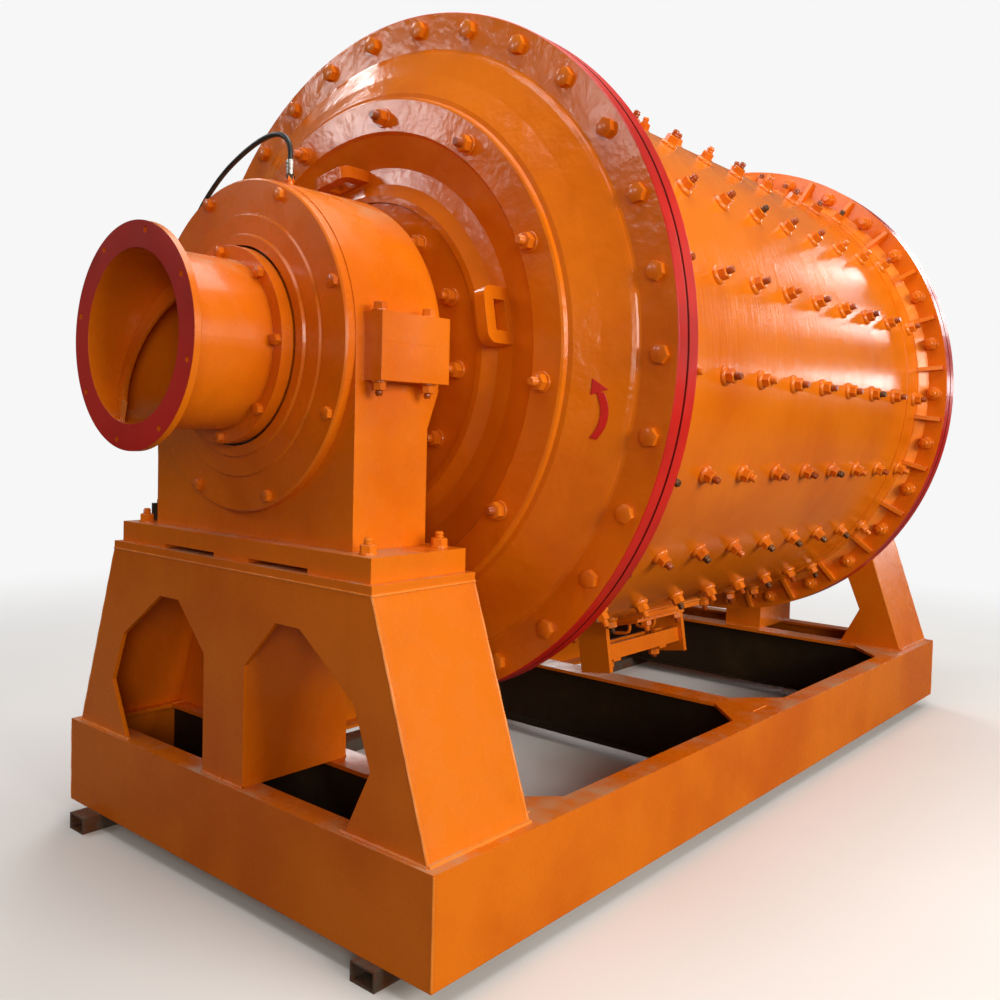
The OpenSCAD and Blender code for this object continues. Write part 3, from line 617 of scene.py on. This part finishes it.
def direction_arrow():
    """The red arrow painted on the head, which shows the way the drum turns."""
    thick = 0.0025

    def at(r, angle, proud):
        """A place on the head's dish, or proud of it."""
        y = np.interp(r, (0.954, 1.0275, 1.110), (RING_Y + 0.023, RING_Y + 0.069, RING_Y + 0.113))
        a = math.radians(angle)
        return (r * math.cos(a), float(y) - proud, AXIS_Z + r * math.sin(a))

    verts, faces = [], []
    steps = 12
    for i in range(steps + 1):
        t = i / steps
        angle = -15.2 + 8.1 * t
        middle = 1.0375 + 0.078 * t * (1 - t) - 0.004 * t
        half = 0.0100 + 0.002 * t
        verts += [at(middle - half, angle, 0.0), at(middle - half, angle, thick),
                  at(middle + half, angle, thick), at(middle + half, angle, 0.0)]
    for i in range(steps):
        a, b = 4 * i, 4 * (i + 1)
        for k in range(4):
            n = (k + 1) % 4
            faces.append((a + n, b + n, b + k, a + k))
    start = len(verts)
    faces.append((3, 2, 1, 0))
    faces.append((start - 4, start - 3, start - 2, start - 1))
    corners = ((1.010, -7.8), (1.010, -4.9), (1.055, -6.5))
    for proud in (thick, 0.0):
        verts += [at(r, angle, proud) for r, angle in corners]
    faces.append((start + 2, start + 1, start))
    faces.append((start + 3, start + 4, start + 5))
    for i in range(3):
        j = (i + 1) % 3
        faces.append((start + j, start + 3 + j, start + 3 + i, start + i))
    batch = Batch("direction_arrow", "drum", [MAT_RED])
    batch.add((np.array(verts), faces))
    batch.build()


def shell_welds(end, flip):
    """The wide fillet weld between the shell's band and the back of its flange."""
    batch = Batch(f"{end}_shell_weld", "drum", [MAT_WELD_HIGHLIGHT])
    reach = 0.045
    outline = [(BAND_R - 0.004, 0.004), (WELD_R, 0.004), (WELD_R - 0.002, -0.002),
               (BAND_R + 0.016, -0.024), (BAND_R + 0.003, -reach), (BAND_R - 0.004, -reach)]
    batch.add(ring(outline, 360, 0.0007), flip @ on_axis(0, 0, BACK_Y))
    batch.build()


manhole()
direction_arrow()
for end, flip in ENDS.items():
    shell_welds(end, flip)

# ---- Bolts of the bearings and pipes ----


def cover_bolts(end, flip):
    """Bolts of the bearing's outer cover."""
    batch = Batch(f"{end}_cover_bolts", "frame", [MAT_BOLT])
    rim_y = COVER_LO.y + 0.018
    for k in range(8):
        place = flip @ on_axis(20.1 + 45 * k, COVER_BOLT_R, rim_y, random.uniform(0, 60))
        batch.add(hexagon(0.036, 0.018), place)
    batch.build()


def pipe_bolts(end, flip):
    """Bolts that hold the pipe's inner flange on the trunnion."""
    batch = Batch(f"{end}_pipe_bolts", "drum", [MAT_BOLT])
    seat_y = TRUNNION_LO.y - 0.043
    for k in range(8):
        place = flip @ on_axis(1.1 + 45 * k, PIPE_BOLT_R, seat_y, random.uniform(0, 60))
        batch.add(hexagon(0.032, 0.020), place)
    batch.build()


def housing_bolts(end, flip):
    """Bolts of the joint lugs and of the foot."""
    batch = Batch(f"{end}_housing_bolts", "frame", [MAT_BOLT, MAT_TIP])
    lug_top, lug_bottom = AXIS_Z + 0.091, AXIS_Z - 0.115
    for side in (-1, 1):
        for y in (CAP_LO.y + 0.056, CAP_LO.y + 0.258):
            top = flip @ Matrix.Translation((side * LUG_BOLT_X, y, lug_top))
            batch.add(disc(0.025, 0.005), top)
            batch.add(hexagon(0.037, 0.022), top @ up(0.005))
            under = flip @ Matrix.Translation((side * LUG_BOLT_X, y, lug_bottom)) @ REVERSED
            batch.add(disc(0.025, 0.005), under)
            batch.add(hexagon(0.037, 0.024), under @ up(0.005))
            batch.add(threaded(0.0120, 0.016), under @ up(0.029), 1)
        for y in (FOOT_LO.y + 0.053, FOOT_LO.y + 0.349):
            foot = flip @ Matrix.Translation((side * FOOT_BOLT_X, y, FOOT_HI.z))
            batch.add(disc(0.028, 0.006), foot)
            batch.add(hexagon(0.046, 0.024), foot @ up(0.006))
            batch.add(threaded(0.014, 0.020, 16), foot @ up(0.030))
    batch.build()


for end, flip in ENDS.items():
    cover_bolts(end, flip)
    pipe_bolts(end, flip)
    housing_bolts(end, flip)

# ---- Welds of the stands and the base ----


def stand_welds(end, flip):
    """Beads at the feet of the stand's plates, up its corners and under its top plate."""
    batch = Batch(f"{end}_stand_welds", "frame", [MAT_WELD_HIGHLIGHT])
    foot_x, top_x = SIDES_HI.x, STAND_CAP_HI.x
    top_z = STAND_CAP_LO.z
    for side in (-1, 1):
        for x0, x1 in ((STAND_LEG_X, foot_x), (0.004, COLUMN_HI.x)):
            for y in (STAND_OUT_LO.y, STAND_IN_HI.y):
                batch.add(weld((side * x0, y, BASE_TOP), (side * x1, y, BASE_TOP)), flip)
        outer, inner = (side * foot_x, STAND_OUT_LO.y, BASE_TOP), (side * foot_x, STAND_IN_HI.y, BASE_TOP)
        batch.add(weld(outer, inner, 0.010), flip)
        for y in (STAND_OUT_LO.y + 0.003, STAND_IN_HI.y - 0.003):
            foot, top = (side * (foot_x - 0.003), y, BASE_TOP), (side * (top_x - 0.003), y, top_z)
            batch.add(weld(foot, top, 0.005), flip)
        outer, inner = (side * top_x, STAND_OUT_LO.y, top_z), (side * top_x, STAND_IN_HI.y, top_z)
        batch.add(weld(outer, inner, 0.005), flip)
    for y in (STAND_OUT_LO.y, STAND_IN_HI.y):
        batch.add(weld((-top_x, y, top_z), (top_x, y, top_z), 0.004), flip)
    batch.build()


def base_welds():
    """Beads across the mitres of the base's corners and along the cross beams' ends."""
    batch = Batch("base_welds", "frame", [MAT_WELD_HIGHLIGHT])
    inner = SIDE_HI.x - CHANNEL_W
    for node in CROSS_BEAMS:
        low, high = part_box(node)
        for side in (-1, 1):
            batch.add(weld((side * inner, low.y, BASE_TOP), (side * inner, high.y, BASE_TOP), 0.004))
    for sy in (-1, 1):
        for sx in (-1, 1):
            end_y, corner_x = sy * (BASE_END_Y - 0.002), sx * (SIDE_HI.x - 0.002)
            batch.add(weld((corner_x, end_y, 0.066), (corner_x, end_y, BASE_TOP - 0.004), 0.004))
    batch.build()


for end, flip in ENDS.items():
    stand_welds(end, flip)
base_welds()

# ---- Lubrication hose ----


def smooth_route(points, steps=6):
    """More points on a smooth curve through the given ones."""
    points = [Vector(p) for p in points]
    line = []
    for i in range(len(points) - 1):
        a, b = points[max(i - 1, 0)], points[i]
        c, d = points[i + 1], points[min(i + 2, len(points) - 1)]
        for k in range(steps):
            t = k / steps
            line.append(0.5 * (2 * b + (c - a) * t + (2 * a - 5 * b + 4 * c - d) * t ** 2
                               + (3 * b - a - 3 * c + d) * t ** 3))
    return line + [points[-1]]


def hose():
    """The black hose from the cap to the block on the foot, with its end fitting."""
    line = smooth_route(HOSE_ROUTE)
    data = bpy.data.curves.new("hose", "CURVE")
    data.dimensions = "3D"
    data.bevel_depth = HOSE_D / 2
    data.bevel_resolution = 5
    data.use_fill_caps = True
    spline = data.splines.new("POLY")
    spline.points.add(len(line) - 1)
    for point, place in zip(spline.points, line):
        point.co = (*place, 1.0)
    data.materials.append(MAT_RUBBER)
    piece = bpy.data.objects.new("hose", data)
    bpy.context.scene.collection.objects.link(piece)
    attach(piece, "frame")
    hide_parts("lube_hose")

    crimp = Batch("hose_crimps", "frame", [MAT_ZINC, MAT_DARK_NUT])
    sleeve = turn([(0.0125, 0.0), (0.0128, 0.006), (0.0118, 0.008), (0.0128, 0.010), (0.0128, 0.016),
                   (0.0118, 0.018), (0.0128, 0.020), (0.0128, 0.030), (0.0105, 0.034)], 28)
    x, y, z = HOSE_ROUTE[0]
    crimp.add(sleeve, Matrix.Translation((x, y, z - 0.030)))
    x, y, z = HOSE_ROUTE[-1]
    crimp.add(hexagon(0.030, 0.016), Matrix.Translation((x, y, z)), 1)
    crimp.add(sleeve, Matrix.Translation((x, y, z + 0.016)))
    crimp.build()

    block_bolts = Batch("block_bolts", "frame", [MAT_DARK_NUT])
    middle = (BLOCK_LO.y + BLOCK_HI.y) / 2
    for x in (BLOCK_LO.x + 0.055, BLOCK_HI.x - 0.016):
        block_bolts.add(hexagon(0.017, 0.008), Matrix.Translation((x, middle, BLOCK_HI.z)))
    block_bolts.build()


hose()

# ---- Stage, lights and camera ----

PALE = (0.93, 0.93, 0.93, 1.0)


def studio():
    """A pale floor that fades into a pale backdrop. Both are darker to every ray but the camera's."""
    scene = bpy.context.scene
    scene.view_settings.view_transform = "Standard"
    reach = 60.0
    floor = bpy.data.meshes.new("floor")
    floor.from_pydata([(-reach, -reach, 0), (reach, -reach, 0), (reach, reach, 0), (-reach, reach, 0)], [],
                      [(0, 1, 2, 3)])
    ground = bpy.data.objects.new("floor", floor)
    scene.collection.objects.link(ground)
    n = Nodes("pale_floor")
    n.colour(n.mix(n.remap(n.noise(0.4), 0.3, 0.7), (0.86, 0.86, 0.86), (0.90, 0.90, 0.90)))
    n.roughness(0.7)
    new = n.tree.nodes.new
    away = new("ShaderNodeVectorMath")
    away.operation = "LENGTH"
    n.link(n.coords, away.inputs[0])
    far = new("ShaderNodeEmission")
    far.inputs["Color"].default_value = PALE
    pale, seen, dim, path = (new(f"ShaderNode{kind}") for kind in ("MixShader", "MixShader", "BsdfDiffuse",
                                                                     "LightPath"))
    dim.inputs["Color"].default_value = (0.13, 0.12, 0.11, 1.0)
    n.link(n.remap(away.outputs["Value"], 3.0, 7.5), pale.inputs["Fac"])
    n.link(n.shader.outputs["BSDF"], pale.inputs[1])
    n.link(far.outputs["Emission"], pale.inputs[2])
    n.link(path.outputs["Is Camera Ray"], seen.inputs["Fac"])
    n.link(dim.outputs["BSDF"], seen.inputs[1])
    n.link(pale.outputs["Shader"], seen.inputs[2])
    n.link(seen.outputs["Shader"], n.tree.nodes["Material Output"].inputs["Surface"])
    floor.materials.append(n.material)

    world = bpy.data.worlds.new("studio")
    world.use_nodes = True
    scene.world = world
    tree = world.node_tree
    back = tree.nodes["Background"]
    back.inputs["Color"].default_value = (1.0, 0.88, 0.74, 1.0)
    back.inputs["Strength"].default_value = 0.14
    seen = tree.nodes.new("ShaderNodeBackground")
    seen.inputs["Color"].default_value = PALE
    path = tree.nodes.new("ShaderNodeLightPath")
    both = tree.nodes.new("ShaderNodeMixShader")
    tree.links.new(path.outputs["Is Camera Ray"], both.inputs["Fac"])
    tree.links.new(back.outputs["Background"], both.inputs[1])
    tree.links.new(seen.outputs["Background"], both.inputs[2])
    tree.links.new(both.outputs["Shader"], tree.nodes["World Output"].inputs["Surface"])


def softbox(name, place, target, size, power, colour=(1, 1, 1)):
    light = bpy.data.lights.new(name, "AREA")
    light.shape = "RECTANGLE"
    light.size, light.size_y = size
    light.energy = power
    light.color = colour
    lamp = bpy.data.objects.new(name, light)
    lamp.location = place
    lamp.rotation_euler = (Vector(target) - Vector(place)).to_track_quat("-Z", "Y").to_euler()
    bpy.context.scene.collection.objects.link(lamp)


def camera():
    """The view of the fitted photograph: yaw and pitch of the line of sight, and the roll about it."""
    yaw, pitch, roll = math.radians(39.94), math.radians(-2.194), math.radians(1.421)
    ahead = Vector((-math.sin(yaw) * math.cos(pitch), math.cos(yaw) * math.cos(pitch), math.sin(pitch)))
    level = Vector((math.cos(yaw), math.sin(yaw), 0.0))
    upright = level.cross(ahead)
    right = math.cos(roll) * level + math.sin(roll) * upright
    up = -math.sin(roll) * level + math.cos(roll) * upright
    data = bpy.data.cameras.new("camera")
    data.sensor_width = 36.0
    data.lens = 35.13
    data.shift_x, data.shift_y = -0.0139, -0.0316
    data.dof.use_dof = False
    cam = bpy.data.objects.new("camera", data)
    cam.matrix_world = Matrix((
        (right.x, up.x, -ahead.x, 2.758),
        (right.y, up.y, -ahead.y, -3.903),
        (right.z, up.z, -ahead.z, 1.553),
        (0, 0, 0, 1)))
    bpy.context.scene.collection.objects.link(cam)
    bpy.context.scene.camera = cam


studio()
softbox("key", (9.0, -0.5, 3.6), (0, 0, 1.2), (6.0, 3.0), 620, (1.0, 0.97, 0.88))
softbox("sky", (0.5, -0.5, 6.5), (0, 0, 1.5), (4.0, 6.0), 260)
softbox("front_window", (-3.4, -8.5, 5.4), (0.8, -1.4, 2.4), (1.4, 1.0), 34)
softbox("left_window", (-5.2, -6.2, 5.0), (0, -1.4, 2.6), (1.3, 1.0), 40)
softbox("left_skylight", (-5.0, -2.2, 6.8), (0, -1.4, 2.7), (1.6, 1.2), 70)
softbox("front_fill", (7.0, -7.5, 2.8), (0, -2.0, 1.4), (3.0, 3.0), 215, (1.0, 0.88, 0.72))
softbox("rear", (-6.5, 5.0, 4.5), (0, 0, 1.5), (5.0, 4.0), 260)
softbox("window_low", (4.2, 10.0, 2.4), (1.1, 0, 1.9), (2.4, 0.7), 34)
softbox("window_middle", (2.6, 10.0, 4.5), (0.9, 0, 2.3), (2.4, 1.0), 55)
softbox("window_high", (0.8, 10.0, 5.6), (0.6, 0, 2.6), (2.4, 1.2), 75)
camera()

# ---- Materials of the CAD nodes ----

PLAIN = {"drum_shell": MAT_SHELL, "feed_bearing_ring": MAT_RING, "discharge_bearing_ring": MAT_RING,
         "runner_left": MAT_SCALE, "runner_right": MAT_SCALE, "hose_block": MAT_BLACK_AND_PAINTED_SHADE,
         "feed_lifting_loops": MAT_CAST, "discharge_lifting_loops": MAT_CAST,
         "feed_trunnion": MAT_CAST, "discharge_trunnion": MAT_CAST, "lube_hose": MAT_RUBBER}


def dress(node, materials, choose=None):
    """Gives a CAD node its materials; choose(centre, normal) picks one for a face."""
    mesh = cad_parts[node].data
    mesh.materials.clear()
    for material in materials:
        mesh.materials.append(material)
    if choose:
        for face in mesh.polygons:
            face.material_index = choose(face.center, face.normal)


def radius_of(point):
    return math.hypot(point.x, point.z - AXIS_Z)


def rim_colour(centre, normal):
    """Red on the rim, dark red as painted shade in the groove at the joint, orange elsewhere."""
    if abs(abs(centre.y) + JOINT_Y) < 0.008:
        return 2
    outward = Vector((centre.x, 0, centre.z - AXIS_Z)).normalized()
    return 1 if radius_of(centre) > FLANGE_R - 0.02 and normal.dot(outward) > 0.5 else 0


def mouth_is_red(centre, normal):
    """Red on the pipe's end face."""
    face_y = -PIPE_LO.y
    return 1 if abs(abs(centre.y) - face_y) < 0.004 and abs(normal.y) > 0.5 else 0


def fitting_colour(centre, normal):
    """Orange boss, dark nut and zinc stem, by height."""
    if centre.z < FITTING_HI.z - 0.054:
        return 0
    return 1 if centre.z < FITTING_HI.z - 0.033 else 2


def web_in_painted_shade(centre, normal):
    """Orange on the cross beam's top edge; near-black painted shade on the web below it."""
    return 0 if centre.z > BASE_TOP - 0.016 and normal.z > -0.5 else 1


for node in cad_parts:
    dress(node, [PLAIN.get(node, MAT_ORANGE)])
for end in ENDS:
    dress(f"{end}_head", [MAT_CAST, MAT_RED, MAT_GROOVE_SHADE], rim_colour)
    dress(f"{end}_shell_flange", [MAT_ORANGE, MAT_RED, MAT_GROOVE_SHADE], rim_colour)
    dress(f"{end}_pipe", [MAT_ORANGE, MAT_RED], mouth_is_red)
dress("hose_fitting", [MAT_ORANGE, MAT_DARK_NUT, MAT_ZINC], fitting_colour)
# The cross beams' webs get near-black as painted shade below their lit top edge.
for node in CROSS_BEAMS:
    dress(node, [MAT_ORANGE, MAT_BLACK_AND_PAINTED_SHADE], web_in_painted_shade)
